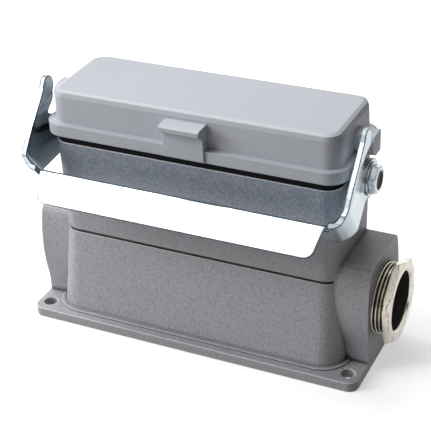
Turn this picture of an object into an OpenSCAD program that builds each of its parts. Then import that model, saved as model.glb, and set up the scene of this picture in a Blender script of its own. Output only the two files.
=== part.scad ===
// Heavy duty rectangular connector, size 24: surface mounting housing with side
// cable entry, single locking lever, hinged protective cover and a 24 pole
// female contact insert. +X is the cable entry end, -Y the lever side, +Z up,
// origin in the middle of the mounting face.

/* [View] */
// Piece to build, or all of them

/* [Mounting flange] */
// Length of the flange
flange_l = 138; // [110:1:180]
// Width of the flange
flange_w = 59.6; // [48:0.2:80]
// Thickness of the flange
flange_t = 3.8; // [3:0.1:6]
// Corner radius of the flange
flange_r = 4; // [2:0.5:8]
// Spacing of the fixing holes along the length
hole_dx = 128; // [100:1:170]
// Spacing of the fixing holes across the width
hole_dy = 48; // [38:0.5:70]
// Fixing hole diameter
hole_d = 5.5; // [4.3:0.1:6.6]

/* [Housing body] */
// Length of the housing at its rim
rim_l = 115.6; // [90:0.2:150]
// Width of the housing at its rim
rim_w = 38.6; // [30:0.2:60]
// Height of the housing rim above the mounting face
rim_z = 76; // [57:0.5:90]
// Height of the groove between lower and upper body
ledge_z = 37.6; // [25:0.1:50]
// Width of the groove
groove_w = 1.2; // [0.6:0.1:3]
// Depth of the groove
groove_d = 0.9; // [0.3:0.1:1.5]
// Inward taper of the upper body from rim to groove, each side
upper_taper = 0.5; // [0:0.1:3]
// Length of the body at its foot
foot_l = 120.6; // [100:0.2:160]
// Width of the body at its foot
foot_w = 49.8; // [40:0.2:65]
// Vertical corner radius at the foot
foot_r = 9.8; // [5:0.2:14]
// Vertical corner radius of the body
body_r = 6.5; // [4:0.5:12]
// Wall thickness of the lower body
wall = 3.2; // [2.5:0.1:5]
// Length of the insert opening
open_l = 111.9; // [80:0.1:140]
// Width of the insert opening
open_w = 34.9; // [25:0.1:50]

/* [Cable entry] */
// Height of the cable entry axis
entry_z = 24; // [20:0.5:36]
// Half width of the entry block at the height of its axis
entry_r = 17.5; // [15:0.1:24]
// Half width of the entry block's flat top
entry_top_w = 12.8; // [8:0.1:16]
// Height of the flat top of the entry block
entry_top = 44; // [36:0.5:48]
// Distance of the block's end face from the middle
entry_x = 69; // [62:0.5:80]
// Width of the entry block at its foot
entry_foot_w = 31; // [24:0.5:40]
// Thread diameter of the gland screw
gland_d = 28; // [20:0.1:37]
// Width across flats of the gland screw
gland_af = 30; // [24:1:42]
// Bore of the gland screw
gland_bore = 22.8; // [12:0.1:26]

/* [Gasket] */
// Height of the profile gasket above the rim
gasket_h = 3.4; // [2:0.1:5]

/* [Cover] */
// Length of the cover at its lower rim
cover_l = 120; // [95:0.5:160]
// Width of the cover at its lower rim
cover_w = 43; // [34:0.5:60]
// Height of the cover's lower rim
cover_rim_h = 4.6; // [3:0.1:8]
// Length of the cover's raised block
hood_l = 114.4; // [90:0.2:150]
// Width of the cover's raised block
hood_w = 36.8; // [28:0.2:55]
// Height of the cover's top above the mounting face
top_z = 96.7; // [85:0.1:110]
// Wall thickness of the cover
cover_wall = 2.2; // [1.5:0.1:3]
// Width of the thumb tab
tab_w = 16; // [10:0.5:24]

/* [Locking lever] */
// Thickness of the lever's sheet
sheet = 2; // [1.5:0.1:3]
// Distance between the outer faces of the arms
lever_w = 130; // [110:0.5:160]
// Outer radius of the bends between arms and web
bend_r = 6.5; // [4:0.5:9]
// Distance by which the arms are set inwards at the pivot
arm_set = 2; // [0.5:0.1:3]
// Length of the handle's lip
lip_l = 10.9; // [6:0.1:20]
// Height of the lever pivot
pivot_z = 73.2; // [60:0.1:76]
// Diameter of the pivot bolt's shank
pivot_d = 5.2; // [4:0.1:8]

/* [Hinge] */
// Distance of the hinge pin behind the middle
hinge_y = 25.2; // [23:0.1:30]
// Height of the hinge pin
hinge_z = 77; // [70:0.1:82]
// Diameter of the hinge pin
pin_d = 3; // [2:0.1:4]

/* [Contact insert] */
// Number of contacts, in two double rows
poles = 24; // [12:4:24]
// Length of the insert
insert_l = 111.4; // [80:0.1:140]
// Width of the insert
insert_w = 34.4; // [24:0.1:50]
// Height of the insert's contact face
face_z = 82; // [70:0.5:90]
// Spacing of the fixing screws along the length
screw_dx = 104; // [70:0.5:130]
// Spacing of the fixing screws across the width
screw_dy = 27; // [18:0.5:40]

/* [Hidden] */
$fn = 48;
fit = 0.1;
gland_hex_h = 2.9;
zinc = [0.80, 0.83, 0.86];
brass = [0.82, 0.78, 0.68];
die_cast = [0.50, 0.50, 0.54];
black = [0.06, 0.06, 0.06];
cover_grey = [0.76, 0.77, 0.79];
insert_grey = [0.55, 0.56, 0.55];
snug = 0.03;
// boss that carries the pivot bolt
pivot_boss_x = 60.8;
pivot_boss_r = 5.6;
// faces of the lever's arms, outside, and where they sit on the pivots
arm_out = lever_w / 2;
arm_in = arm_out - sheet - arm_set;
// handle's web, square to a line that rises web_tilt degrees above +Y, and its folded lip
web_tilt = 36.87;
web_m = 16.2;
fold_h = 70.95;
lip_tilt = 229.2;
lip_w = 57.3;
cover_z = rim_z + gasket_h + 0.2;
hood_z = cover_z + cover_rim_h;
contact_rows = [-9.6, -3.2, 3.2, 9.6];
contact_pitch = 14.4;

// ---- shared shapes ----------------------------------------------------

// Rounded rectangle from squares and circles, so its corners stay true arcs
module rounded(l, w, r) {
  square([l - 2 * r, w], center = true);
  square([l, w - 2 * r], center = true);
  for (x = [-1, 1], y = [-1, 1])
    translate([x * (l / 2 - r), y * (w / 2 - r)])
      circle(r = r);
}

module slab(l, w, r, z0, z1) {
  translate([0, 0, z0])
    linear_extrude(z1 - z0)
      rounded(l, w, r);
}

// Drafted body between two rounded outlines
module drafted(l0, w0, r0, z0, l1, w1, r1, z1) {
  hull() {
    translate([0, 0, z0])
      linear_extrude(0.01)
        rounded(l0, w0, r0, $fn = 32);
    translate([0, 0, z1 - 0.01])
      linear_extrude(0.01)
        rounded(l1, w1, r1, $fn = 32);
  }
}

// Cylinder along X from x0 to x1
module along_x(x0, x1, d, y = 0, z = 0) {
  translate([min(x0, x1), y, z])
    rotate([0, 90, 0])
      cylinder(d = d, h = abs(x1 - x0));
}

// Extrudes a drawing made in Y and Z along X, from x0 to x1
module profile_x(x0, x1) {
  translate([min(x0, x1), 0, 0])
    rotate([90, 0, 90])
      linear_extrude(abs(x1 - x0))
        children();
}

// ---- housing ----------------------------------------------------------

// Half width of the entry block at height z, bulging gently about its axis
function entry_side(z) = max(entry_foot_w / 2, entry_r - pow(z - entry_z - 2, 2) / 120);

module entry_outline() {
  flank = concat(
    [[entry_top_w, entry_top], [entry_top_w + 1.7, entry_top - 1.2], [entry_top_w + 2.7, entry_top - 3]],
    [for (z = [entry_top - 5 : -3 : flange_t]) [entry_side(z), z]],
    [[entry_foot_w / 2, 0]]);
  polygon(concat(flank, [for (i = [len(flank) - 1 : -1 : 0]) [-flank[i][0], flank[i][1]]]));
}

module entry_boss(side) {
  profile_x(side * 50, side * entry_x)
    entry_outline();
}

module body_shell() {
  up_l = rim_l - 2 * upper_taper;
  up_w = rim_w - 2 * upper_taper;
  // low step round the foot
  slab(foot_l + 3.6, foot_w + 3.6, foot_r + 1.8, flange_t - 0.1, flange_t + 0.5);
  drafted(foot_l, foot_w, foot_r, flange_t - 0.1, up_l, up_w, body_r, ledge_z - groove_w / 2);
  slab(up_l - 2 * groove_d, up_w - 2 * groove_d, body_r - groove_d,
       ledge_z - groove_w, ledge_z + groove_w);
  drafted(up_l, up_w, body_r, ledge_z + groove_w / 2, rim_l, rim_w, body_r, rim_z);
}

module hinge_ear(x, width) {
  hull() {
    along_x(x - width / 2, x + width / 2, 6.4, hinge_y, hinge_z);
    translate([x - width / 2, rim_w / 2 - 1.2, hinge_z - 12])
      cube([width, 0.6, 9.5]);
  }
}

// Boss for a fixing screw of the insert, standing in a corner of the wiring space
module insert_pillar(x, y) {
  translate([x, y, 43])
    cylinder(d = 9.4, h = rim_z - 14 - 43);
}

module housing() {
  color(die_cast)
    difference() {
      union() {
        slab(flange_l, flange_w, flange_r, 0, flange_t);
        body_shell();
        for (s = [-1, 1])
          entry_boss(s);
        difference() {
          along_x(-pivot_boss_x, pivot_boss_x, 2 * pivot_boss_r, 0, pivot_z);
          slab(rim_l - 0.2, rim_w, body_r, rim_z, rim_z + 4);
        }
        for (x = [-39.7, -30.3, 30.3, 39.7])
          hinge_ear(x, 4.6);
      }
      // room for the insert, then the wiring space below it
      slab(open_l, open_w, 4, rim_z - 14, rim_z + 1);
      difference() {
        union() {
          slab(rim_l - 2 * wall - 2, rim_w - 2 * wall - 1.2, 5, 30, rim_z - 13.9);
          drafted(foot_l - 2 * wall, foot_w - 2 * wall, foot_r - wall, 4, rim_l - 2 * wall - 2,
                  rim_w - 2 * wall - 1.2, 5, ledge_z);
        }
        for (x = [-1, 1], y = [-1, 1])
          insert_pillar(x * screw_dx / 2, y * screw_dy / 2);
        for (s = [-1, 1])
          translate([s * 52.4 - 3.6, -4.2, 50])
            cube([7.2, 8.4, rim_z - 14 - 50]);
      }
      for (s = [-1, 1])
        translate([s * 52, 0, 52])
          cylinder(d = 3.5, h = 12);
      for (x = [-1, 1], y = [-1, 1])
        translate([x * screw_dx / 2, y * screw_dy / 2, rim_z - 27])
          cylinder(d = 4, h = 20);
      for (x = [-1, 1], y = [-1, 1])
        translate([x * hole_dx / 2, y * hole_dy / 2, -1])
          cylinder(d = hole_d, h = flange_t + 2);
      // threaded cable entry, and the blind one that is cored from inside
      along_x(55.5, entry_x + 1, gland_d, 0, entry_z);
      along_x(50, 56, 23, 0, entry_z);
      along_x(-50, -entry_x + 4, 25, 0, entry_z);
      for (s = [-1, 1])
        along_x(s * 57.2, s * (pivot_boss_x + 1), pivot_d + snug, 0, pivot_z);
      along_x(-50, 50, pin_d, hinge_y, hinge_z);
    }
}

module profile_gasket() {
  color(black)
    difference() {
      union() {
        slab(rim_l - 0.6, rim_w - 0.6, body_r - 0.3, rim_z, rim_z + gasket_h - 0.9);
        drafted(rim_l - 0.6, rim_w - 0.6, body_r - 0.3, rim_z + gasket_h - 1,
                rim_l - 2, rim_w - 2, body_r - 1, rim_z + gasket_h);
      }
      slab(open_l + 0.6, open_w + 0.6, 4.3, rim_z - 1, rim_z + gasket_h + 1);
    }
}

// ---- lever pivots -----------------------------------------------------

module pivot_bolt(s) {
  head_x = arm_in + sheet + 0.75;
  color(zinc) {
    along_x(s * 57.3, s * head_x, pivot_d, 0, pivot_z);
    difference() {
      intersection() {
        translate([s * head_x, 0, pivot_z])
          rotate([0, s * 90, 0])
            rotate(10)
              cylinder(d = 10 / cos(30), h = 2.6, $fn = 6);
        translate([s * head_x, 0, pivot_z])
          rotate([0, s * 90, 0])
            union() {
              cylinder(d = 12, h = 1.7);
              translate([0, 0, 1.7])
                cylinder(d1 = 12, d2 = 9.4, h = 0.9);
            }
      }
      // shallow dish in the head
      translate([s * (head_x + 1.9), 0, pivot_z])
        rotate([0, s * 90, 0])
          cylinder(d1 = 5.4, d2 = 7, h = 0.8);
    }
  }
}

module pivot_washer(s) {
  x0 = arm_in + sheet + 0.1;
  color(zinc)
    difference() {
      along_x(s * x0, s * (x0 + 0.6), 12.6, 0, pivot_z);
      along_x(s * (x0 - 1), s * (x0 + 2), pivot_d + fit, 0, pivot_z);
    }
}

// ---- hinge ------------------------------------------------------------

module hinge_pin() {
  color(zinc)
    along_x(-49.5, 49.5, pin_d, hinge_y, hinge_z);
}

// Torsion spring drawn as its wound sleeve with one leg on the housing
module hinge_spring(s) {
  color(zinc) {
    difference() {
      along_x(s * 32.8, s * 37.2, 5.4, hinge_y, hinge_z);
      along_x(s * 31, s * 39, pin_d + 0.8, hinge_y, hinge_z);
    }
    // leg that rests on the back of the housing
    translate([s * 36.4 - 0.5, rim_w / 2 + 0.02, hinge_z - 2.5])
      cube([1, hinge_y - rim_w / 2 - 1.5, 0.9]);
  }
}

// ---- cable gland ------------------------------------------------------

module gland_screw() {
  hex_x = entry_x + 3.3;
  color(brass)
    difference() {
      union() {
        along_x(61.4, hex_x + 0.2, gland_d - fit, 0, entry_z);
        intersection() {
          translate([hex_x, 0, entry_z])
            rotate([0, 90, 0])
              rotate(46)
                cylinder(d = gland_af / cos(30), h = gland_hex_h, $fn = 6);
          translate([hex_x, 0, entry_z])
            rotate([0, 90, 0])
              union() {
                cylinder(d1 = gland_af + 1.8, d2 = gland_af + 5, h = 0.6);
                translate([0, 0, 0.6])
                  cylinder(d = gland_af + 5, h = gland_hex_h - 1.4);
                translate([0, 0, gland_hex_h - 0.8])
                  cylinder(d1 = gland_af + 5, d2 = gland_af + 0.4, h = 0.8);
              }
        }
      }
      along_x(58, entry_x + 9, gland_bore, 0, entry_z);
      // countersunk mouth of the bore
      translate([hex_x + gland_hex_h - 1.2, 0, entry_z])
        rotate([0, 90, 0])
          cylinder(d1 = gland_bore - 1, d2 = gland_bore + 3.2, h = 1.4);
    }
}

module gland_pressure_ring() {
  color(zinc)
    difference() {
      along_x(60.4, 61.3, gland_d - 0.6, 0, entry_z);
      along_x(59, 63, gland_bore - 1, 0, entry_z);
    }
}

module gland_seal() {
  color(black)
    difference() {
      along_x(55.5, 60.4, gland_d - 0.6, 0, entry_z);
      along_x(54, 62, 16, 0, entry_z);
    }
}

// ---- contact insert ---------------------------------------------------

function contact_xs() = [for (i = [0 : poles / 4 - 1]) (i - (poles / 4 - 1) / 2) * contact_pitch];

module contact_insert() {
  color(insert_grey)
    difference() {
      union() {
        // wiring block, fixing flange and contact block
        slab(91, 29, 1.5, 44, 64);
        difference() {
          slab(insert_l, insert_w, 3.6, rim_z - 14, rim_z - 11);
          slab(insert_l + 2, 12, 0.5, rim_z - 15, rim_z - 10);
        }
        slab(95, insert_w - 0.6, 2, rim_z - 12, rim_z - 2);
        slab(94, 31, 2.5, rim_z - 2.1, face_z);
      }
      for (x = contact_xs(), y = contact_rows) {
        translate([x, y, 43])
          cylinder(d = 4.1, h = face_z - 43 - 2);
        translate([x, y, face_z - 2.1])
          cylinder(d = 3.6, h = 3, $fn = 32);
      }
      for (x = [-1, 1], y = [-1, 1])
        translate([x * screw_dx / 2, y * screw_dy / 2, 50])
          cylinder(d = 4.4, h = 40);
      terminal_holes(3.2, 12, 15);
    }
}

module socket_contacts() {
  color([0.80, 0.78, 0.70])
    for (x = contact_xs(), y = contact_rows)
      difference() {
        translate([x, y, 46])
          cylinder(d = 4, h = face_z - 46 - 2.4, $fn = 24);
        translate([x, y, face_z - 16])
          cylinder(d = 2.5, h = 20, $fn = 24);
      }
}

// Clamping screws in both long faces of the wiring block, head to head with the contacts
module terminal_holes(d, y0, y1) {
  for (x = contact_xs(), y = [-1, 1], z = [48.5, 55.5])
    translate([x + (z > 50 ? 2.4 : -2.4), y * y0, z])
      rotate([y * -90, 0, 0])
        cylinder(d = d, h = y1 - y0, $fn = 24);
}

module terminal_screws() {
  color(zinc)
    terminal_holes(3, 12.2, 14.2);
}

module earth_plate(s) {
  color(zinc)
    difference() {
      union() {
        translate([s * 51.6 - 3.9, -5.6, rim_z - 14])
          cube([7.8, 11.2, 1.6]);
        translate([s * 48.1 - 0.6, -5.6, rim_z - 14])
          cube([1.2, 11.2, 11]);
      }
      translate([s * 52, 0, rim_z - 15])
        cylinder(d = 3.5, h = 4);
    }
}

module earth_screws() {
  color(zinc)
    for (s = [-1, 1])
      translate([s * 52, 0, rim_z - 12.4])
        difference() {
          union() {
            cylinder(d = 6, h = 2.2);
            translate([0, 0, -5])
              cylinder(d = 3.4, h = 5.1);
          }
          translate([-4, -0.4, 1.3])
            cube([8, 0.8, 2]);
        }
}

module insert_screws() {
  color(zinc)
    for (x = [-1, 1], y = [-1, 1])
      translate([x * screw_dx / 2, y * screw_dy / 2, rim_z - 11])
        difference() {
          union() {
            cylinder(d = 6.4, h = 3);
            translate([0, 0, -14])
              cylinder(d = 3.9, h = 14.1);
          }
          translate([-4, -0.5, 1.8])
            cube([8, 1, 2]);
        }
}

// ---- locking lever ----------------------------------------------------

// Side view of arm and web in Y and Z: front edge, web, lower edge, pivot, rear edge of the finger
module lever_outline() {
  polygon([
    [-9, 97.5], [-10.6, 97.4], [-11.6, 96.6], [-13, 94], [-15.4, 91], [-18, 88], [-20.8, 85], [-23.5, 82],
    [-25.9, 79], [-28, 76], [-29.4, 74.8], [-30, 74.2], [-30.3, 73.2], [-30.3, 71.8], [-30.4, 70.8],
    [-31.5, 69], [-33.1, 67.8], [-26.4, 58.9], [-23.2, 61.3], [-21.7, 62.1], [-18.6, 62.7], [-15.6, 63.4],
    [-11.4, 64.4], [-7.3, 65.5], [-3.6, 66.8], [6, 69], [0, 80.6], [-5, 80.6], [-8, 81.4], [-12.3, 83.2],
    [-12.9, 84.2], [-11.8, 85.7], [-9.6, 87.6], [-7.5, 90], [-6.2, 92], [-6, 93.6], [-6.4, 95.6],
    [-7.4, 97]]);
  translate([0, pivot_z])
    circle(r = 7.4);
}

// Draws out a drawing made in X and a second axis, which is turned about X to stand
// "tilt" degrees above +Y, to both sides of its plane
module sweep(tilt) {
  rotate([tilt, 0, 0])
    translate([0, 0, -130])
      linear_extrude(260)
        children();
}

// Region of half width w that narrows by arm_set past a ramp, "run" long
module ramp_region(w, from, run) {
  polygon([[-w, -200], [w, -200], [w, from], [w - arm_set, from + run], [w - arm_set, 200],
           [-w + arm_set, 200], [-w + arm_set, from + run], [-w, from]]);
}

// Outline of the bent sheet, seen along its bends
module bent_outline(w, front, r) {
  translate([-w, front + r])
    square([2 * w, 200]);
  translate([-w + r, front])
    square([2 * (w - r), 200]);
  for (s = [-1, 1])
    translate([s * (w - r), front + r])
      circle(r = r);
}

// Solid behind the sheet's outer face (t = 0) or its inner face (t = sheet)
module sheet_body(t) {
  w = arm_out - t;
  intersection() {
    sweep(web_tilt)
      bent_outline(w, web_m + t, bend_r - t);
    union() {
      // the arms run inwards from the bends and from their front edges to the pivots
      sweep(web_tilt)
        ramp_region(w, web_m + bend_r, 12);
      sweep(-web_tilt)
        ramp_region(w, -66, 14);
      // the fingers stay outside, above a short ramp that crosses the arm
      sweep(110)
        mirror([0, 1])
          ramp_region(w, -87.5, 3);
    }
  }
}

// Outline of the handle's lip, from above the fold to its rounded lower corners
module lip_outline() {
  r = 4;
  low_w = lip_w - 1.7;
  polygon([[-lip_w - 0.7, -6], [lip_w + 0.7, -6], [low_w, lip_l - r], [low_w - r, lip_l],
           [-low_w + r, lip_l], [-low_w, lip_l - r]]);
  for (s = [-1, 1])
    translate([s * (low_w - r), lip_l - r])
      circle(r = r);
}

// The fold on top of the web, with the lip that runs out from it
module handle_lip() {
  lean = lip_tilt - web_tilt;
  corner = [web_m, fold_h];
  run = (lip_l + 2) * [cos(lean), sin(lean)];
  arc = [for (i = [0 : 8]) corner + sheet * [cos(i * (lean - 90) / 8), sin(i * (lean - 90) / 8)]];
  intersection() {
    rotate([web_tilt, 0, 0])
      profile_x(-lip_w, lip_w)
        polygon(concat([corner + [0, -1.5], corner + [sheet, -1.5]], arc, [arc[8] + run, corner + run, corner]));
    rotate([web_tilt, 0, 0])
      translate([0, web_m, fold_h])
        rotate([lean, 0, 0])
          translate([0, 0, -8])
            linear_extrude(16)
              lip_outline();
  }
}

module locking_lever() {
  color(zinc)
    union() {
      difference() {
        intersection() {
          profile_x(-arm_out, arm_out)
            lever_outline();
          sheet_body(0);
        }
        sheet_body(sheet);
        // the web ends at the fold between the bends
        rotate([web_tilt, 0, 0])
          translate([-lip_w - 1, web_m - 6, fold_h])
            cube([2 * lip_w + 2, 14, 16]);
        along_x(-arm_out - 1, arm_out + 1, pivot_d + fit, 0, pivot_z);
      }
      handle_lip();
    }
}

// ---- cover ------------------------------------------------------------

// Locking peg: flat behind, rounded in front
module peg_outline() {
  translate([0.4, 87.1])
    circle(r = 4.1);
  translate([0.4, 83.1])
    square([4.1, 8]);
}

module thumb_tab() {
  profile_x(-tab_w / 2, tab_w / 2)
    polygon([[-18, cover_z + 0.4], [-22.3, cover_z + 0.4], [-22.3, 89.2], [-25.6, 91.4], [-25.6, 93],
             [-24.6, 93.6], [-18, 93.6]]);
}

module knuckle(x, width) {
  difference() {
    hull() {
      along_x(x - width / 2, x + width / 2, 6.4, hinge_y, hinge_z);
      translate([x - width / 2, cover_w / 2 - 1, cover_z])
        cube([width, 1, cover_rim_h - 0.4]);
    }
    along_x(x - width, x + width, pin_d + 2 * 0.06, hinge_y, hinge_z);
  }
}

module cover() {
  color(cover_grey)
    union() {
      difference() {
        union() {
          slab(cover_l, cover_w, 7.5, cover_z, hood_z);
          drafted(hood_l + 0.8, hood_w + 0.6, 6, hood_z - 0.1, hood_l, hood_w, 5.6, top_z - 2.2);
          hull() {
            slab(hood_l, hood_w, 5.6, top_z - 2.3, top_z - 2.2, $fn = 32);
            slab(hood_l - 1.2, hood_w - 1.2, 5, top_z - 0.7, top_z - 0.6, $fn = 32);
            slab(hood_l - 4, hood_w - 4, 3.8, top_z - 0.1, top_z, $fn = 32);
          }
          profile_x(-64.8, 64.8)
            peg_outline();
          thumb_tab();
        }
        // hollow
        slab(hood_l - 2 * cover_wall, hood_w - 2 * cover_wall, 3.6, cover_z - 1, top_z - 2.4);
      }
      for (x = [-45.1, -24.9, 24.9, 45.1])
        knuckle(x, 5.4);
    }
}

// ---- assembly ---------------------------------------------------------

housing();
profile_gasket();
pivot_bolt(-1);  // pivot_bolt_left
pivot_bolt(1);  // pivot_bolt_right
pivot_washer(-1);  // pivot_washer_left
pivot_washer(1);  // pivot_washer_right
hinge_pin();
hinge_spring(-1);  // hinge_spring_left
hinge_spring(1);  // hinge_spring_right
gland_screw();
gland_pressure_ring();
gland_seal();
contact_insert();
socket_contacts();
terminal_screws();
earth_plate(-1);  // earth_plate_left
earth_plate(1);  // earth_plate_right
earth_screws();
insert_screws();
locking_lever();
cover();
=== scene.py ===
"""Looks of a heavy duty rectangular connector: finishes, fine pieces, studio and camera.

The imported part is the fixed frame. Each sub-assembly is a class that builds its fine pieces
from the frame's boxes and dresses its nodes, and each finish is a small frozen dataclass.
Lengths are millimetres in names that end in _mm and metres everywhere else.
"""
import logging
import math
from dataclasses import dataclass, replace
from enum import Enum
from typing import Any

import bmesh
import bpy
from mathutils import Matrix, Vector


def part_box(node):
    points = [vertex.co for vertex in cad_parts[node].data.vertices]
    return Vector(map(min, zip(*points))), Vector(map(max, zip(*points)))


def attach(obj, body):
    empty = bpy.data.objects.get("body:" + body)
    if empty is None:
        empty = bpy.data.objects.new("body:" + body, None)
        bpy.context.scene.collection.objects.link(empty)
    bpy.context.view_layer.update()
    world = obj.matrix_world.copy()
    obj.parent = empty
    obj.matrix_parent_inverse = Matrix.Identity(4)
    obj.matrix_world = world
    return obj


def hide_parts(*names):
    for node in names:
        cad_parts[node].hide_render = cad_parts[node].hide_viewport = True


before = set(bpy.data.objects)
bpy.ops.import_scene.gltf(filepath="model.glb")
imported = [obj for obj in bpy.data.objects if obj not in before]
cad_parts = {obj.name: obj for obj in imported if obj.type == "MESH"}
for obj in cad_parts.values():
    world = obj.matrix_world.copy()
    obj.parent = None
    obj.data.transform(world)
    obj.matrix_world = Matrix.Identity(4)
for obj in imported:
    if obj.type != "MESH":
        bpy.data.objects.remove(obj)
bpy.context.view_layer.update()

LOG = logging.getLogger("connector")
MM = 0.001
FAR_MM = 1000.0  # well outside the part
SQUARE = (0, 1, 2, 3)  # the one face of a floor or card
WELD = 1e-6  # points nearer than this are one point
CREASE_DEG = 28.0  # faces that meet at more than this keep a sharp edge
SIXTH_DEG = 60.0  # from one side of a hexagon to the next

Colour = tuple[float, float, float]
Point = tuple[float, float, float]
Span = tuple[float, float]


class Axis(Enum):
    """Directions of the frame."""

    X = "X"
    Y = "Y"
    Z = "Z"


class Detail(Enum):
    """How many finer octaves a noise pattern has."""

    PLAIN = 1.0
    FINE = 2.0
    RICH = 3.0


class Side(Enum):
    """Ends of the part, seen from the lever's handle."""

    LEFT = "left"
    RIGHT = "right"


# ---- shader maths -------------------------------------------------------


class Value:
    """A number carried by a shader socket, with Python's arithmetic."""

    def __init__(self, shader: "Shader", socket: bpy.types.NodeSocket) -> None:
        """Wraps a socket.

        Args:
            shader: The node tree that the socket belongs to.
            socket: The output socket.
        """
        self.shader = shader
        self.socket = socket

    def _math(self, operation: str, *terms: Any) -> "Value":
        """Adds a Math node.

        Args:
            operation: The node's operation.
            terms: Numbers or values, in the order of the node's inputs.

        Returns:
            The node's result.
        """
        inputs = dict(enumerate(terms))
        return self.shader.node("ShaderNodeMath", {"operation": operation}, inputs)

    def __add__(self, other: Any) -> "Value":
        """Sum."""
        return self._math("ADD", self, other)

    def __radd__(self, other: Any) -> "Value":
        """Reflected sum."""
        return self._math("ADD", other, self)

    def __sub__(self, other: Any) -> "Value":
        """Difference."""
        return self._math("SUBTRACT", self, other)

    def __rsub__(self, other: Any) -> "Value":
        """Reflected difference."""
        return self._math("SUBTRACT", other, self)

    def __mul__(self, other: Any) -> "Value":
        """Product."""
        return self._math("MULTIPLY", self, other)

    def __rmul__(self, other: Any) -> "Value":
        """Reflected product."""
        return self._math("MULTIPLY", other, self)

    def root(self) -> "Value":
        """Square root."""
        return self._math("SQRT", self)

    def wave(self) -> "Value":
        """Sine."""
        return self._math("SINE", self)

    def band(self, low: float, high: float) -> "Value":
        """Rises smoothly from 0 at low to 1 at high.

        Args:
            low: Value that gives 0.
            high: Value that gives 1.

        Returns:
            The smooth step.
        """
        settings = {"interpolation_type": "SMOOTHSTEP"}
        inputs = {"Value": self, "From Min": low, "From Max": high, "To Min": 0.0, "To Max": 1.0}
        return self.shader.node("ShaderNodeMapRange", settings, inputs, "Result")


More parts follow.
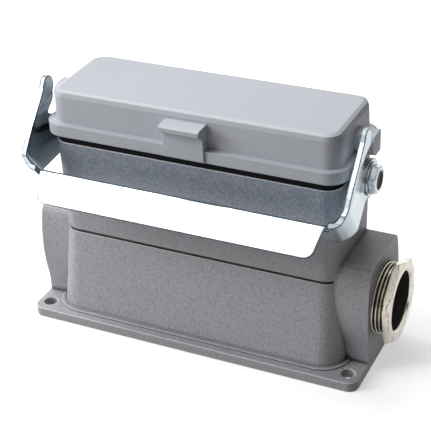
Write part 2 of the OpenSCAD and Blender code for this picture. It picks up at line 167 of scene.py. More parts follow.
class Shader:
    """Node tree of one material, ending in a Principled shader."""

    round_samples: int = 6
    edge_samples: int = 8
    crevice_shade_samples: int = 8
    edge_span: Span = (0.93, 0.999)  # agreement of the rounded normal with the plain one

    def __init__(self, name: str) -> None:
        """Makes an empty material.

        Args:
            name: The material's name.
        """
        self.owner: Any = bpy.data.materials.new(name)
        self.owner.use_nodes = True
        self.tree = self.owner.node_tree
        self.tree.nodes.clear()
        self.surface = self.tree.nodes.new("ShaderNodeBsdfPrincipled")
        output = self.tree.nodes.new("ShaderNodeOutputMaterial")
        self.tree.links.new(self.surface.outputs["BSDF"], output.inputs["Surface"])

    def node(self, kind: str, settings: dict[str, Any], inputs: dict[Any, Any],
             output: Any = 0) -> Value:
        """Adds one node.

        Args:
            kind: The node's type.
            settings: The node's properties, set before its sockets.
            inputs: Numbers, vectors or values by socket name or index.
            output: Name or index of the wanted output.

        Returns:
            The wanted output.
        """
        made = self.tree.nodes.new(kind)
        for name, setting in settings.items():
            setattr(made, name, setting)
        for name, value in inputs.items():
            self._feed(made.inputs[name], value)
        return Value(self, made.outputs[output])

    def _feed(self, socket: bpy.types.NodeSocket, value: Any) -> None:
        """Links or sets one input socket.

        Args:
            socket: The input socket.
            value: A value to link, or a number, vector or colour to set.
        """
        if isinstance(value, Value):
            self.tree.links.new(value.socket, socket)
        elif isinstance(value, tuple) and socket.type == "RGBA":
            socket.default_value = (*value, 1.0)
        else:
            socket.default_value = value

    def place(self) -> Value:
        """Object coordinates, which are the frame's own in metres."""
        return self.node("ShaderNodeTexCoord", {}, {}, "Object")

    def axis(self, axis: Axis) -> Value:
        """One object coordinate in metres."""
        return self.node("ShaderNodeSeparateXYZ", {}, {"Vector": self.place()}, axis.value)

    def noise(self, size_mm: float, detail: Detail, stretch: Point = (1.0, 1.0, 1.0)) -> Value:
        """Noise of a given grain.

        Args:
            size_mm: Width of one grain.
            detail: How many finer octaves it has.
            stretch: Scale of the pattern along X, Y and Z.

        Returns:
            Noise from 0 to 1.
        """
        inputs = {"Vector": self.place(), "Scale": stretch}
        vector = self.node("ShaderNodeMapping", {}, inputs)
        wanted = {"Vector": vector, "Scale": 1.0 / (size_mm * MM),
                  "Detail": detail.value}
        return self.node("ShaderNodeTexNoise", {}, wanted, "Fac")

    def mix(self, share: Any, first: Any, second: Any) -> Value:
        """Mixes two colours.

        Args:
            share: How much of the second colour shows.
            first: Colour or value.
            second: Colour or value.

        Returns:
            The mixed colour.
        """
        # a Mix node's colour sockets come after those for numbers and vectors
        inputs = {0: share, 6: first, 7: second}
        return self.node("ShaderNodeMix", {"data_type": "RGBA"}, inputs, 2)

    def relief(self, height: Value, depth_mm: float, rounding_mm: float, share: float) -> Value:
        """Turns a height from 0 to 1 into a normal, over edges rounded by a small radius.

        Args:
            height: The height pattern.
            depth_mm: Depth of the relief.
            rounding_mm: Radius of the rounded edges.
            share: Share of the relief that shows.

        Returns:
            The bent normal.
        """
        settings = {"samples": self.round_samples}
        rounded = self.node("ShaderNodeBevel", settings, {"Radius": rounding_mm * MM})
        inputs = {"Height": height, "Distance": depth_mm * MM, "Strength": share,
                  "Normal": rounded}
        return self.node("ShaderNodeBump", {}, inputs, "Normal")

    def edge(self, width_mm: float) -> Value:
        """1 along the edges of a shape and 0 on its faces.

        Args:
            width_mm: How far from the edge it reaches.

        Returns:
            The edges.
        """
        settings = {"samples": self.edge_samples}
        rounded = self.node("ShaderNodeBevel", settings, {"Radius": width_mm * MM})
        plain = self.node("ShaderNodeNewGeometry", {}, {}, "True Normal")
        dot = {"operation": "DOT_PRODUCT"}
        facing = self.node("ShaderNodeVectorMath", dot, {0: rounded, 1: plain}, "Value")
        return 1.0 - facing.band(*self.edge_span)

    def crevice(self, reach_mm: float, alone: bool = True) -> Value:
        """How open a place is to the air, 0 deep in a crease and 1 in the open; finishes darken
        by it as painted shade.

        Args:
            reach_mm: How far a neighbouring wall still counts.
            alone: Whether only the shape's own walls count.

        Returns:
            The openness.
        """
        settings = {"samples": self.crevice_shade_samples, "only_local": alone}
        inputs = {"Distance": reach_mm * MM}
        return self.node("ShaderNodeAmbientOcclusion", settings, inputs, "AO")

    def seen(self) -> Value:
        """1 for what the camera, metal or glass shows, 0 for stray light.

        Returns:
            The kind of ray.
        """
        camera, glossy, clear = (
            self.node("ShaderNodeLightPath", {}, {}, ray)
            for ray in ("Is Camera Ray", "Is Glossy Ray", "Is Transmission Ray")
        )
        return (camera + glossy + clear).band(0.0, 1.0)

    def finish(self, **values: Any) -> Any:
        """Feeds the last shader.

        Args:
            values: Socket values, with underscores for the spaces in socket names.

        Returns:
            The finished material or world.
        """
        for name, value in values.items():
            self._feed(self.surface.inputs[name.replace("_", " ")], value)
        return self.owner


class Surroundings(Shader):
    """Node tree of a world, ending in its Background shader."""

    def __init__(self, name: str) -> None:
        """Makes a world.

        Args:
            name: The world's name.
        """
        self.owner = bpy.data.worlds.new(name)
        self.owner.use_nodes = True
        self.tree = self.owner.node_tree
        self.surface = self.tree.nodes["Background"]


# ---- finishes -----------------------------------------------------------


@dataclass(frozen=True)
class PowderCoat:
    """Fine-grained powder coat on die cast metal, with painted shade that makes it bluer and
    darker above the lever, a painted highlight with edge wear along its edges, and painted shade
    in its creases.
    """

    lower: Colour = (0.400, 0.390, 0.418)
    # painted shade: the darker, bluer colour of the band above the lever
    upper_painted_shade: Colour = (0.235, 0.270, 0.335)
    change: Span = (0.050, 0.070)
    coarse_mm: float = 0.825
    fine_mm: float = 0.33
    coarse_share: float = 0.6
    fleck: Colour = (0.55, 0.54, 0.56)
    fleck_span: Span = (0.45, 0.62)
    fleck_share: float = 0.30
    pit: Colour = (0.18, 0.18, 0.19)
    pit_span: Span = (0.38, 0.50)
    pit_share: float = 0.38
    # painted highlight with edge wear: a near white colour along every edge
    edge_wear_and_highlight: Colour = (0.85, 0.85, 0.87)
    edge_wear_and_highlight_share: float = 0.9
    edge_mm: float = 0.7
    # painted shade: near black in creases and corners
    crevice_shade: Colour = (0.015, 0.015, 0.017)
    crevice_shade_mm: float = 2.6
    crevice_shade_span: Span = (0.50, 0.84)
    roughness: float = 0.36
    roughness_spread: float = 0.16
    depth_mm: float = 0.20
    depth_share: float = 1.0
    rounding_mm: float = 0.8

    def material(self) -> bpy.types.Material:
        """Builds the material.

        Returns:
            The material.
        """
        s = Shader("powder_coat")
        coarse = s.noise(self.coarse_mm, Detail.PLAIN)
        fine = s.noise(self.fine_mm, Detail.PLAIN)
        grain = coarse * self.coarse_share + fine * (1.0 - self.coarse_share)
        # painted shade: darker and bluer above the lever
        body = s.mix(s.axis(Axis.Z).band(*self.change), self.lower, self.upper_painted_shade)
        flecks = grain.band(*self.fleck_span) * self.fleck_share
        pits = (1.0 - grain.band(*self.pit_span)) * self.pit_share
        speckled = s.mix(pits, s.mix(flecks, body, self.fleck), self.pit)
        # painted highlight with edge wear along the edges
        edge_wear_and_highlight = s.mix(s.edge(self.edge_mm) * self.edge_wear_and_highlight_share, speckled, self.edge_wear_and_highlight)
        # painted shade in creases and corners
        crevice_shaded = s.mix(s.crevice(self.crevice_shade_mm).band(*self.crevice_shade_span), self.crevice_shade, edge_wear_and_highlight)
        return s.finish(
            Base_Color=crevice_shaded, Roughness=self.roughness + grain * self.roughness_spread,
            Normal=s.relief(grain, self.depth_mm, self.rounding_mm, self.depth_share),
        )


@dataclass(frozen=True)
class MouldedPlastic:
    """Smooth moulded plastic with a faint spark-eroded grain and painted shade in its creases."""

    name: str = "cover_plastic"
    colour: Colour = (0.455, 0.47, 0.515)
    worn: Colour = (0.49, 0.505, 0.545)
    cloud_mm: float = 30.0
    cloud_span: Span = (0.3, 0.75)
    cloud_share: float = 0.5
    # painted shade: dark colour in creases and corners
    crevice_shade: Colour = (0.05, 0.05, 0.055)
    crevice_shade_mm: float = 0.8
    crevice_shade_span: Span = (0.25, 0.6)
    roughness: float = 0.42
    roughness_spread: float = 0.1
    grain_mm: float = 0.35
    depth_mm: float = 0.006
    depth_share: float = 0.8
    rounding_mm: float = 0.5

    def material(self) -> bpy.types.Material:
        """Builds the material.

        Returns:
            The material.
        """
        s = Shader(self.name)
        grain = s.noise(self.grain_mm, Detail.FINE)
        cloud = s.noise(self.cloud_mm, Detail.FINE)
        clouds = cloud.band(*self.cloud_span) * self.cloud_share
        colour = s.mix(clouds, self.colour, self.worn)
        # painted shade in creases and corners
        crevice_shaded = s.mix(s.crevice(self.crevice_shade_mm).band(*self.crevice_shade_span), self.crevice_shade, colour)
        return s.finish(
            Base_Color=crevice_shaded, Roughness=self.roughness + grain * self.roughness_spread,
            Normal=s.relief(grain, self.depth_mm, self.rounding_mm, self.depth_share),
        )


@dataclass(frozen=True)
class PlatedSheet:
    """Bright zinc plate on rolled sheet, with faint rolling marks along X and a painted dark
    reflection along its edges.
    """

    name: str = "zinc_sheet"
    colour: Colour = (0.48, 0.55, 0.58)
    tint: Colour = (0.39, 0.46, 0.51)
    cloud_mm: float = 9.0
    cloud_span: Span = (0.4, 0.7)
    cloud_share: float = 0.45
    # painted dark reflection: near black along every edge
    painted_edge_reflection: Colour = (0.01, 0.012, 0.015)
    edge_mm: float = 0.95
    rolling: Point = (0.04, 1.0, 1.0)
    rolling_mm: float = 0.5
    roughness: float = 0.17
    cloud_roughness: float = 0.10
    rolling_roughness: float = 0.05
    rolling_share: float = 0.5
    depth_mm: float = 0.02
    depth_share: float = 0.35
    rounding_mm: float = 0.35

    def material(self) -> bpy.types.Material:
        """Builds the material.

        Returns:
            The material.
        """
        s = Shader(self.name)
        marks = s.noise(self.rolling_mm, Detail.FINE, self.rolling)
        cloud = s.noise(self.cloud_mm, Detail.RICH)
        plated = s.mix(cloud.band(*self.cloud_span) * self.cloud_share, self.colour, self.tint)
        # painted dark reflection along the edges
        colour = s.mix(s.edge(self.edge_mm), plated, self.painted_edge_reflection)
        rough = self.roughness + cloud * self.cloud_roughness + marks * self.rolling_roughness
        height = marks * self.rolling_share + cloud * (1.0 - self.rolling_share)
        return s.finish(
            Base_Color=colour, Metallic=1.0, Roughness=rough,
            Normal=s.relief(height, self.depth_mm, self.rounding_mm, self.depth_share),
        )


@dataclass(frozen=True)
class TurnedMetal:
    """Plated metal turned about an axis along X, with fine tool rings.

    It is black inside the bore's radius up to the mouth as painted shade, and dark before the
    neck. Its edges take the neck's colour as a painted dark reflection, and its creases as
    painted shade.
    """

    name: str
    colour: Colour
    shade: Colour
    centre: Span
    roughness: float = 0.14
    stain_mm: float = 2.6
    stain_span: Span = (0.42, 0.68)
    stain_share: float = 0.6
    stain_roughness: float = 0.14
    bore_mm: float = 0.0
    mouth_mm: float = 0.0
    fade_mm: float = 0.2
    # painted shade: black inside the bore
    bore: Colour = (0.006, 0.006, 0.006)
    bore_roughness: float = 0.4
    neck_mm: float = -FAR_MM
    neck_fade_mm: float = 0.05
    # the neck's colour, also painted on edges as a painted dark reflection and in creases as
    # painted shade
    neck: Colour = (0.05, 0.035, 0.02)
    edge_mm: float = 0.25
    edge_share: float = 0.7
    crevice_shade_mm: float = 1.0
    crevice_shade_span: Span = (0.35, 0.7)
    ring_mm: float = 0.35
    ring_share: float = 0.3
    depth_mm: float = 0.006
    depth_share: float = 0.3
    rounding_mm: float = 0.3

    def material(self) -> bpy.types.Material:
        """Builds the material.

        Returns:
            The material.
        """
        s = Shader(self.name)
        across, above = s.axis(Axis.Y) - self.centre[0], s.axis(Axis.Z) - self.centre[1]
        radius = (across * across + above * above).root()
        rings = (radius * (2 * math.pi / (self.ring_mm * MM))).wave()
        stains = s.noise(self.stain_mm, Detail.RICH)
        stained = stains.band(*self.stain_span) * self.stain_share
        colour = s.mix(stained, self.colour, self.shade)
        # painted shade: black inside the bore's radius up to the mouth
        inside = 1.0 - radius.band(self.bore_mm * MM, (self.bore_mm + self.fade_mm) * MM)
        deep = 1.0 - s.axis(Axis.X).band((self.mouth_mm - self.fade_mm) * MM, self.mouth_mm * MM)
        black = inside * deep
        # darker brown before the neck
        before_neck = 1.0 - s.axis(Axis.X).band((self.neck_mm - self.neck_fade_mm) * MM,
                                          (self.neck_mm + self.neck_fade_mm) * MM)
        colour = s.mix(before_neck, colour, self.neck)
        # painted dark reflection along the edges, in the neck's colour
        colour = s.mix(s.edge(self.edge_mm) * self.edge_share, colour, self.neck)
        # painted shade in creases and between parts, in the neck's colour
        colour = s.mix(s.crevice(self.crevice_shade_mm, False).band(*self.crevice_shade_span), self.neck, colour)
        rough = self.roughness + stains * self.stain_roughness + black * self.bore_roughness
        height = rings * self.ring_share + stains * (1.0 - self.ring_share)
        return s.finish(
            Base_Color=s.mix(black, colour, self.bore), Metallic=1.0 - black, Roughness=rough,
            Normal=s.relief(height, self.depth_mm, self.rounding_mm, self.depth_share),
        )


@dataclass(frozen=True)
class Rubber:
    """Matt black rubber with a faint bloom."""

    name: str = "gasket_rubber"
    colour: Colour = (0.004, 0.004, 0.005)
    bloom: Colour = (0.012, 0.012, 0.013)
    bloom_mm: float = 1.2
    bloom_span: Span = (0.45, 0.8)
    bloom_share: float = 0.4
    roughness: float = 0.7
    roughness_spread: float = 0.2
    specular: float = 0.15
    depth_mm: float = 0.02
    depth_share: float = 0.5
    rounding_mm: float = 0.3

    def material(self) -> bpy.types.Material:
        """Builds the material.

        Returns:
            The material.
        """
        s = Shader(self.name)
        bloom = s.noise(self.bloom_mm, Detail.RICH)
        bloomed = bloom.band(*self.bloom_span) * self.bloom_share
        return s.finish(
            Base_Color=s.mix(bloomed, self.colour, self.bloom),
            Roughness=self.roughness + bloom * self.roughness_spread,
            Normal=s.relief(bloom, self.depth_mm, self.rounding_mm, self.depth_share),
            Specular_IOR_Level=self.specular,
        )


# ---- meshes -------------------------------------------------------------


def add(name: str, data: Any) -> bpy.types.Object:
    """Puts a mesh, lamp or camera into the scene.

    Args:
        name: Name of the object.
        data: What it holds.

    Returns:
        The object, at the origin.
    """
    made = bpy.data.objects.new(name, data)
    bpy.context.scene.collection.objects.link(made)
    return made


def shell(name: str, points: list[Any], faces: list[tuple[int, ...]],
          material: bpy.types.Material) -> bpy.types.Mesh:
    """Makes a mesh with one finish.

    Args:
        name: Name of the mesh.
        points: Its corners in metres.
        faces: Its faces, as numbers of corners.
        material: Its finish.

    Returns:
        The mesh.
    """
    mesh = bpy.data.meshes.new(name)
    mesh.from_pydata(points, [], faces)
    mesh.materials.append(material)
    return mesh


def merge(name: str, *parts: bpy.types.Object) -> bpy.types.Object:
    """Joins meshes that share one finish into one piece, with faces turned outwards.

    Args:
        name: Name of the piece.
        parts: Objects at the origin, which are removed.

    Returns:
        The piece.
    """
    shape = bmesh.new()
    for part in parts:
        shape.from_mesh(part.data)
    bmesh.ops.remove_doubles(shape, verts=shape.verts, dist=WELD)
    bmesh.ops.recalc_face_normals(shape, faces=shape.faces)
    mesh = bpy.data.meshes.new(name)
    shape.to_mesh(mesh)
    shape.free()
    mesh.materials.append(parts[0].data.materials[0])
    mesh.shade_smooth()
    mesh.set_sharp_from_angle(angle=math.radians(CREASE_DEG))
    for part in parts:
        bpy.data.objects.remove(part)
    LOG.info("%s built, %d faces", name, len(mesh.polygons))
    return add(name, mesh)


def dress(material: bpy.types.Material, *nodes: str) -> None:
    """Gives CAD nodes their finish.

    Args:
        material: The finish.
        nodes: The nodes' names.
    """
    for node in nodes:
        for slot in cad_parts[node].material_slots:
            slot.material = material
        LOG.info("%s dressed", node)


def middle(node: str) -> Vector:
    """Middle of a CAD node's box."""
    low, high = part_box(node)
    return (Vector(low) + Vector(high)) / 2


@dataclass(frozen=True)
class Coil:
    """A round wire wound about an axis along X: a spring's turns or a thread's crest."""

    name: str
    start: Vector
    length: float
    radius: float
    wire: float
    turns: float
    steps_each_turn: int = 40
    sides: int = 10

    def tree(self, material: bpy.types.Material) -> bpy.types.NodeTree:
        """Builds the node tree that winds the wire.

        Args:
            material: Finish of the wire.

        Returns:
            The tree, with an input for each size.
        """
        tree = bpy.data.node_groups.new(self.name, "GeometryNodeTree")
        face = tree.interface
        face.new_socket("Geometry", in_out="OUTPUT", socket_type="NodeSocketGeometry")
        for label in ("Turns", "Radius", "Wire", "Length"):
            face.new_socket(label, in_out="INPUT", socket_type="NodeSocketFloat")
        face.new_socket("Start", in_out="INPUT", socket_type="NodeSocketVector")
        given = tree.nodes.new("NodeGroupInput").outputs
        spiral = tree.nodes.new("GeometryNodeCurveSpiral")
        spiral.inputs["Resolution"].default_value = self.steps_each_turn
        section = tree.nodes.new("GeometryNodeCurvePrimitiveCircle")
        section.inputs["Resolution"].default_value = self.sides
        wound = tree.nodes.new("GeometryNodeCurveToMesh")
        wound.inputs["Fill Caps"].default_value = True
        laid = tree.nodes.new("GeometryNodeTransform")
        laid.inputs["Rotation"].default_value = (0.0, math.pi / 2, 0.0)
        whole = tree.nodes.new("GeometryNodeRealizeInstances")
        dressed = tree.nodes.new("GeometryNodeSetMaterial")
        dressed.inputs["Material"].default_value = material
        out = tree.nodes.new("NodeGroupOutput")
        for source, target in (
            (given["Turns"], spiral.inputs["Rotations"]),
            (given["Radius"], spiral.inputs["Start Radius"]),
            (given["Radius"], spiral.inputs["End Radius"]),
            (given["Length"], spiral.inputs["Height"]),
            (given["Wire"], section.inputs["Radius"]),
            (given["Start"], laid.inputs["Translation"]),
            (spiral.outputs[0], wound.inputs["Curve"]),
            (section.outputs[0], wound.inputs["Profile Curve"]),
            (wound.outputs[0], laid.inputs["Geometry"]),
            (laid.outputs[0], whole.inputs[0]),
            (whole.outputs[0], dressed.inputs["Geometry"]),
            (dressed.outputs[0], out.inputs[0]),
        ):
            tree.links.new(source, target)
        return tree

    def build(self, material: bpy.types.Material) -> bpy.types.Object:
        """Winds the wire as a plain mesh.

        Args:
            material: Finish of the wire.

        Returns:
            The piece, at the origin.
        """
        holder = add(self.name + "_holder", bpy.data.meshes.new(self.name + "_holder"))
        winding = holder.modifiers.new("winding", "NODES")
        winding.node_group = self.tree(material)
        sizes = {"Turns": self.turns, "Radius": self.radius, "Wire": self.wire,
                 "Length": self.length, "Start": self.start}
        for item in winding.node_group.interface.items_tree:
            if item.item_type == "SOCKET" and item.in_out == "INPUT":
                winding[item.identifier] = sizes[item.name]
        depsgraph = bpy.context.evaluated_depsgraph_get()
        mesh = bpy.data.meshes.new_from_object(holder.evaluated_get(depsgraph))
        bpy.data.objects.remove(holder)
        mesh.shade_smooth()
        LOG.info("%s wound, %d faces", self.name, len(mesh.polygons))
        return add(self.name, mesh)


# ---- sub-assemblies -----------------------------------------------------


@dataclass
class Housing:
    """Die cast housing with the profile gasket on its rim."""

    coat: PowderCoat = PowderCoat()
    rubber: Rubber = Rubber()

    def build(self) -> None:
        """Dresses the housing and its gasket."""
        dress(self.coat.material(), "housing")
        dress(self.rubber.material(), "profile_gasket")


@dataclass
class CableGland:
    """Turned gland screw with its hexagon and thread, pressure ring and sealing ring."""

    nickel: Colour = (0.66, 0.63, 0.55)
    nickel_shade: Colour = (0.47, 0.43, 0.34)
    head_back_mm: float = 73.5
    head_face_mm: float = 76.2
    across_flats_mm: float = 30.0
    corner_deg: float = 22.0
    back_bevel_mm: float = 0.5
    back_fall_mm: float = 1.0
    face_bevel_mm: float = 1.1
    face_fall_mm: float = 2.2
    face_bow: float = 1.4
    bevel_steps: int = 4
    bore_mm: float = 11.4
    bore_margin_mm: float = 0.1
    mouth_mm: float = 0.7
    # painted shade: the bore is black from this far inside the face
    black_from_mm: float = 0.9
    root_mm: float = 13.45
    pitch_mm: float = 1.45
    crest_mm: float = 0.4
    bite_mm: float = 0.4
    sides: int = 96

    def build(self) -> None:
        """Builds the gland screw and its thread, and dresses the rest of the gland."""
        axis = (middle("gland_screw").y, middle("gland_seal").z)
        plain = TurnedMetal("nickel_thread", self.nickel, self.nickel_shade, axis)
        # painted shade: black inside the bore up to near the mouth
        turned = replace(
            plain, name="nickel_brass", bore_mm=self.bore_mm + self.bore_margin_mm,
            mouth_mm=self.head_face_mm - self.black_from_mm, neck_mm=self.head_back_mm,
        )
        screw = self.screw(axis, turned.material())
        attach(screw, "base")
        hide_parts("gland_screw")
        dress(PlatedSheet("zinc_washer").material(), "gland_pressure_ring")
        dress(Rubber("seal_rubber").material(), "gland_seal")
        piece = self.thread(axis).build(plain.material())
        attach(piece, "base")

    def thread(self, axis: Span) -> Coil:
        """Sets out the thread's crest between the housing and the hexagon.

        Args:
            axis: Y and Z of the gland's axis in metres.

        Returns:
            The crest.
        """
        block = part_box("housing")[1].x
        start = Vector((block - self.bite_mm * MM, axis[0], axis[1]))
        length = self.head_back_mm * MM - start.x
        turns = length / (self.pitch_mm * MM)
        return Coil("gland_thread", start, length, self.root_mm * MM, self.crest_mm * MM, turns)

    def flat(self, turn: float) -> float:
        """Distance from the axis to the hexagon's side.

        Args:
            turn: Angle from the lever's side, in radians.

        Returns:
            The distance in millimetres.
        """
        past = (math.degrees(turn) - self.corner_deg) % SIXTH_DEG - SIXTH_DEG / 2
        return self.across_flats_mm / 2 / math.cos(math.radians(past))

    def rings(self) -> list[tuple[float, float, bool]]:
        """Sets out the screw's rings along its axis.

        Returns:
            Place along X and radius in millimetres, and whether the ring is six-sided.
        """
        corner = self.across_flats_mm / 2 / math.cos(math.radians(SIXTH_DEG / 2))
        back, face = self.head_back_mm, self.head_face_mm
        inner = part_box("gland_screw")[0].x / MM
        shares = [step / self.bevel_steps for step in range(self.bevel_steps + 1)]
        rings = [(inner, self.bore_mm, False), (inner, self.root_mm, False),
                 (back, self.root_mm, False)]
        for share in shares:
            fall = self.back_fall_mm * (1 - share)
            rings.append((back + self.back_bevel_mm * share, corner - fall, True))
        for share in shares:
            fall = self.face_fall_mm * share ** self.face_bow
            rings.append((face - self.face_bevel_mm * (1 - share), corner - fall, True))
        rings.append((face, self.bore_mm + self.mouth_mm, False))
        rings.append((face - self.mouth_mm, self.bore_mm, False))
        return rings

    def screw(self, axis: Span, material: bpy.types.Material) -> bpy.types.Object:
        """Lofts the screw from its rings.

        Args:
            axis: Y and Z of the gland's axis in metres.
            material: Finish of the screw.

        Returns:
            The piece.
        """
        rings = self.rings()
        points, faces = [], []
        for x, radius, six_sided in rings:
            for step in range(self.sides):
                turn = math.radians(self.corner_deg) + 2 * math.pi * step / self.sides
                reach = min(radius, self.flat(turn)) if six_sided else radius
                points.append((x * MM, axis[0] - reach * MM * math.cos(turn),
                               axis[1] + reach * MM * math.sin(turn)))
        for ring in range(len(rings)):
            here, after = ring * self.sides, (ring + 1) % len(rings) * self.sides
            for step in range(self.sides):
                beside = (step + 1) % self.sides
                faces.append((here + step, here + beside, after + beside, after + step))
        mesh = shell("gland_screw_turned", points, faces, material)
        rough = bpy.data.objects.new("gland_screw_rough", mesh)
        return merge("gland_screw_turned", rough)


@dataclass
class LockingLever:
    """Lever bent from sheet, with the bolts and washers that it turns on."""

    sheet: PlatedSheet = PlatedSheet()
    bolt: Colour = (0.50, 0.53, 0.56)
    bolt_shade: Colour = (0.22, 0.25, 0.28)
    bolt_roughness: float = 0.1
    # painted shade: the bolts are black within this radius of their axis
    painted_centre_shade_mm: float = 3.5

    def build(self) -> None:
        """Dresses the lever and its pivots, with painted shade at the middle of the bolts."""
        dress(self.sheet.material(), "locking_lever")
        pivot = middle("pivot_washer_right")
        # painted shade: black at the middle of the bolts
        bright = TurnedMetal(
            "bright_steel", self.bolt, self.bolt_shade, (pivot.y, pivot.z),
            self.bolt_roughness, bore_mm=self.painted_centre_shade_mm, mouth_mm=FAR_MM,
        )
        dress(bright.material(), "pivot_bolt_left", "pivot_bolt_right", "pivot_washer_left",
              "pivot_washer_right")


@dataclass
class Hinge:
    """Hinge pin with the torsion springs wound round it."""

    steel: Colour = (0.66, 0.68, 0.71)
    steel_shade: Colour = (0.46, 0.48, 0.52)
    roughness: float = 0.18
    wire_mm: float = 0.45
    turns: float = 4.5
    leg_rings: int = 6
    leg_sides: int = 10

    def build(self) -> None:
        """Dresses the pin and winds both springs with their legs."""
        pin = middle("hinge_pin")
        steel = TurnedMetal("spring_steel", self.steel, self.steel_shade, (pin.y, pin.z),
                            self.roughness)
        material = steel.material()
        dress(material, "hinge_pin")
        for side in Side:
            self.spring(side, pin, material)

    def spring(self, side: Side, pin: Vector, material: bpy.types.Material) -> None:
        """Winds one spring over its plain stand-in.

        Args:
            side: End of the part.
            pin: A point on the hinge's axis.
            material: Finish of the wire.
        """
        node = "hinge_spring_" + side.value
        low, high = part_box(node)
        wire = self.wire_mm * MM
        start = Vector((low.x + wire, pin.y, pin.z))
        length = high.x - low.x - 2 * wire
        radius = high.z - pin.z - wire
        coil = Coil(node + "_wire", start, length, radius, wire, self.turns).build(material)
        top = Vector((high.x - wire, pin.y, pin.z - radius))
        leg = self.leg(node, top, low.y + wire, wire, material)
        joined = merge(node + "_wire", coil, leg)
        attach(joined, "base")
        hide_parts(node)

    def leg(self, name: str, top: Vector, wall: float, wire: float,
            material: bpy.types.Material) -> bpy.types.Object:
        """Makes the straight end of the wire that leans on the housing.

        Args:
            name: Name of the spring.
            top: Where the wire leaves the winding.
            wall: Y of the wire's end, at the housing's back.
            wire: Radius of the wire.
            material: Finish of the wire.

        Returns:
            The leg as a closed tube.
        """
        last, sides = self.leg_rings - 1, self.leg_sides
        points, faces = [], []
        for ring in range(self.leg_rings):
            y = top.y + (wall - top.y) * ring / last
            for step in range(sides):
                turn = 2 * math.pi * step / sides
                points.append((top.x + wire * math.cos(turn), y,
                               top.z + wire * math.sin(turn)))
        for ring in range(last):
            for step in range(sides):
                here, there = ring * sides + step, ring * sides + (step + 1) % sides
                faces.append((here, there, there + sides, here + sides))
        faces.append(tuple(reversed(range(sides))))
        faces.append(tuple(range(last * sides, (last + 1) * sides)))
        return add(name + "_leg", shell(name + "_leg", points, faces, material))


@dataclass
class ProtectiveCover:
    """Moulded cover with its locking pegs, thumb tab and hinge knuckles."""

    plastic: MouldedPlastic = MouldedPlastic()

    def build(self) -> None:
        """Dresses the cover."""
        dress(self.plastic.material(), "cover")


@dataclass
class ContactInsert:
    """Contact insert with its socket contacts, screws and earth plates."""

    body: MouldedPlastic = MouldedPlastic(
        "insert_plastic", (0.16, 0.165, 0.16), (0.19, 0.195, 0.19), roughness=0.5)
    screws: PlatedSheet = PlatedSheet("zinc_screws")
    silver: PlatedSheet = PlatedSheet(
        "contact_silver", (0.82, 0.79, 0.72), (0.66, 0.60, 0.50), roughness=0.22)

    def build(self) -> None:
        """Dresses the insert and its metal parts."""
        dress(self.body.material(), "contact_insert")
        dress(self.screws.material(), "terminal_screws", "earth_plate_left",
              "earth_plate_right", "earth_screws", "insert_screws")
        dress(self.silver.material(), "socket_contacts")


# ---- studio -------------------------------------------------------------


def bearing(azimuth_deg: float, elevation_deg: float) -> Vector:
    """Direction from the part to a camera, lamp or card.

    Args:
        azimuth_deg: Bearing, 0 on the lever's side and 90 on the cable entry's.
        elevation_deg: Height above the floor.

    Returns:
        The direction, of length 1.
    """
    azimuth, elevation = math.radians(azimuth_deg), math.radians(elevation_deg)
    return Vector((math.sin(azimuth) * math.cos(elevation),
                   -math.cos(azimuth) * math.cos(elevation), math.sin(elevation)))


@dataclass(frozen=True)
class ViewCamera:
    """Camera at the part's own viewing angle."""

    azimuth_deg: float = 26.57
    elevation_deg: float = 30.28
    roll_deg: float = -2.69
    target_mm: Point = (29.65, -57.98, 82.39)
    distance_mm: float = 416.73
    lens_mm: float = 106.42
    sensor_mm: float = 36.0
    shift: Span = (-0.0005, 0.0126)
    clip: Span = (0.01, 20.0)

    def build(self) -> None:
        """Places the camera and makes it the scene's."""
        azimuth, roll = math.radians(self.azimuth_deg), math.radians(self.roll_deg)
        back = bearing(self.azimuth_deg, self.elevation_deg)
        right = Vector((math.cos(azimuth), math.sin(azimuth), 0.0))
        up = back.cross(right)
        turned = right * math.cos(roll) + up * math.sin(roll)
        upright = up * math.cos(roll) - right * math.sin(roll)
        data = bpy.data.cameras.new("camera")
        data.lens = self.lens_mm
        data.sensor_width = self.sensor_mm
        data.shift_x, data.shift_y = self.shift
        data.clip_start, data.clip_end = self.clip
        camera = add("camera", data)
        where = Vector(self.target_mm) * MM + back * self.distance_mm * MM
        turn = Matrix((turned, upright, back)).transposed().to_4x4()
        camera.matrix_world = Matrix.Translation(where) @ turn
        bpy.context.scene.camera = camera


@dataclass(frozen=True)
class Softbox:
    """Square softbox that points at the part."""

    name: str
    azimuth_deg: float
    elevation_deg: float
    side: float
    watts: float
    distance: float = 1.2

    def build(self, aim: Vector) -> None:
        """Hangs the softbox.

        Args:
            aim: The point that it lights.
        """
        way = bearing(self.azimuth_deg, self.elevation_deg)
        data = bpy.data.lights.new(self.name, "AREA")
        data.size = self.side
        data.energy = self.watts
        box = add(self.name, data)
        box.location = aim + way * self.distance
        box.rotation_mode = "QUATERNION"
        box.rotation_quaternion = way.to_track_quat("Z", "Y")


@dataclass(frozen=True)
class BlackCard:
    """Square black card that only reflections see."""

    name: str
    azimuth_deg: float
    elevation_deg: float
    side: float = 0.3
    distance: float = 0.5
    colour: Colour = (0.01, 0.01, 0.012)
    roughness: float = 0.9

    def build(self, aim: Vector) -> None:
        """Hangs the card.

        Args:
            aim: The point that it faces.
        """
        azimuth = math.radians(self.azimuth_deg)
        way = bearing(self.azimuth_deg, self.elevation_deg)
        across = Vector((math.cos(azimuth), math.sin(azimuth), 0.0)) * self.side / 2
        rise = way.cross(across)
        centre = aim + way * self.distance
        corners = [centre - across - rise, centre + across - rise,
                   centre + across + rise, centre - across + rise]
        black = Shader(self.name).finish(Base_Color=self.colour, Roughness=self.roughness)
        card = add(self.name, shell(self.name, corners, [SQUARE], black))
        card.visible_camera = card.visible_diffuse = card.visible_shadow = False


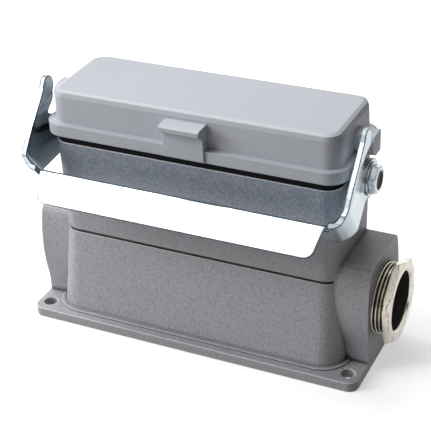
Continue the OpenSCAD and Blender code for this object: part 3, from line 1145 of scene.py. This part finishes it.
@dataclass(frozen=True)
class PaleFloor:
    """Plain pale floor, seen as white and dimmer to the light that it throws back."""

    side: float = 6.0
    drop_mm: float = 0.2
    white: Colour = (0.86, 0.86, 0.86)
    dimmed: Colour = (0.32, 0.32, 0.32)
    glow: Colour = (0.50, 0.50, 0.50)
    dark: Colour = (0.0, 0.0, 0.0)

    def build(self) -> None:
        """Lays the floor."""
        half = self.side / 2
        corners = [(-half, -half, 0.0), (half, -half, 0.0), (half, half, 0.0), (-half, half, 0.0)]
        paper = Shader("floor_paper")
        seen = paper.seen()
        paper.finish(
            Base_Color=paper.mix(seen, self.dimmed, self.white), Roughness=1.0,
            Specular_IOR_Level=0.0, Emission_Color=paper.mix(seen, self.dark, self.glow),
            Emission_Strength=1.0,
        )
        slab = add("floor", shell("floor", corners, [SQUARE], paper.owner))
        slab.location.z = -self.drop_mm * MM


@dataclass(frozen=True)
class Studio:
    """Camera, world, floor, lamps and cards."""

    camera: ViewCamera = ViewCamera()
    floor: PaleFloor = PaleFloor()
    stray_light: float = 0.09
    aim: Point = (0.0, 0.0, 0.05)
    lamps: tuple[Softbox, ...] = (
        Softbox("side_soft", -60.0, 25.0, side=0.6, watts=9.2),
        Softbox("front_soft", -39.0, 48.0, side=0.5, watts=2.6),
        Softbox("left_top_soft", -100.0, 60.0, side=0.6, watts=7.0),
        Softbox("back_top_soft", -150.0, 60.0, side=0.6, watts=4.0),
    )
    cards: tuple[BlackCard, ...] = (
        BlackCard("black_card_front", 10.0, 8.0),
        BlackCard("black_card_right", 75.0, 20.0),
    )

    def world(self) -> None:
        """Sets a white world that is seen at full strength and lights at a lower one."""
        light = Surroundings("studio")
        strength = light.seen() * (1.0 - self.stray_light) + self.stray_light
        bpy.context.scene.world = light.finish(Color=(1.0, 1.0, 1.0), Strength=strength)
        bpy.context.scene.view_settings.view_transform = "Standard"

    def build(self) -> None:
        """Sets up the whole studio."""
        self.camera.build()
        self.world()
        self.floor.build()
        for fitting in self.lamps + self.cards:
            fitting.build(Vector(self.aim))
        LOG.info("studio with %d lamps and %d cards", len(self.lamps), len(self.cards))


def main() -> None:
    """Sets up the studio, then builds and dresses each sub-assembly."""
    logging.basicConfig(level=logging.INFO, format="%(message)s")
    Studio().build()
    for assembly in (Housing(), CableGland(), LockingLever(), Hinge(), ProtectiveCover(),
                     ContactInsert()):
        assembly.build()
        LOG.info("%s done", type(assembly).__name__)


if __name__ == "__main__":
    main()
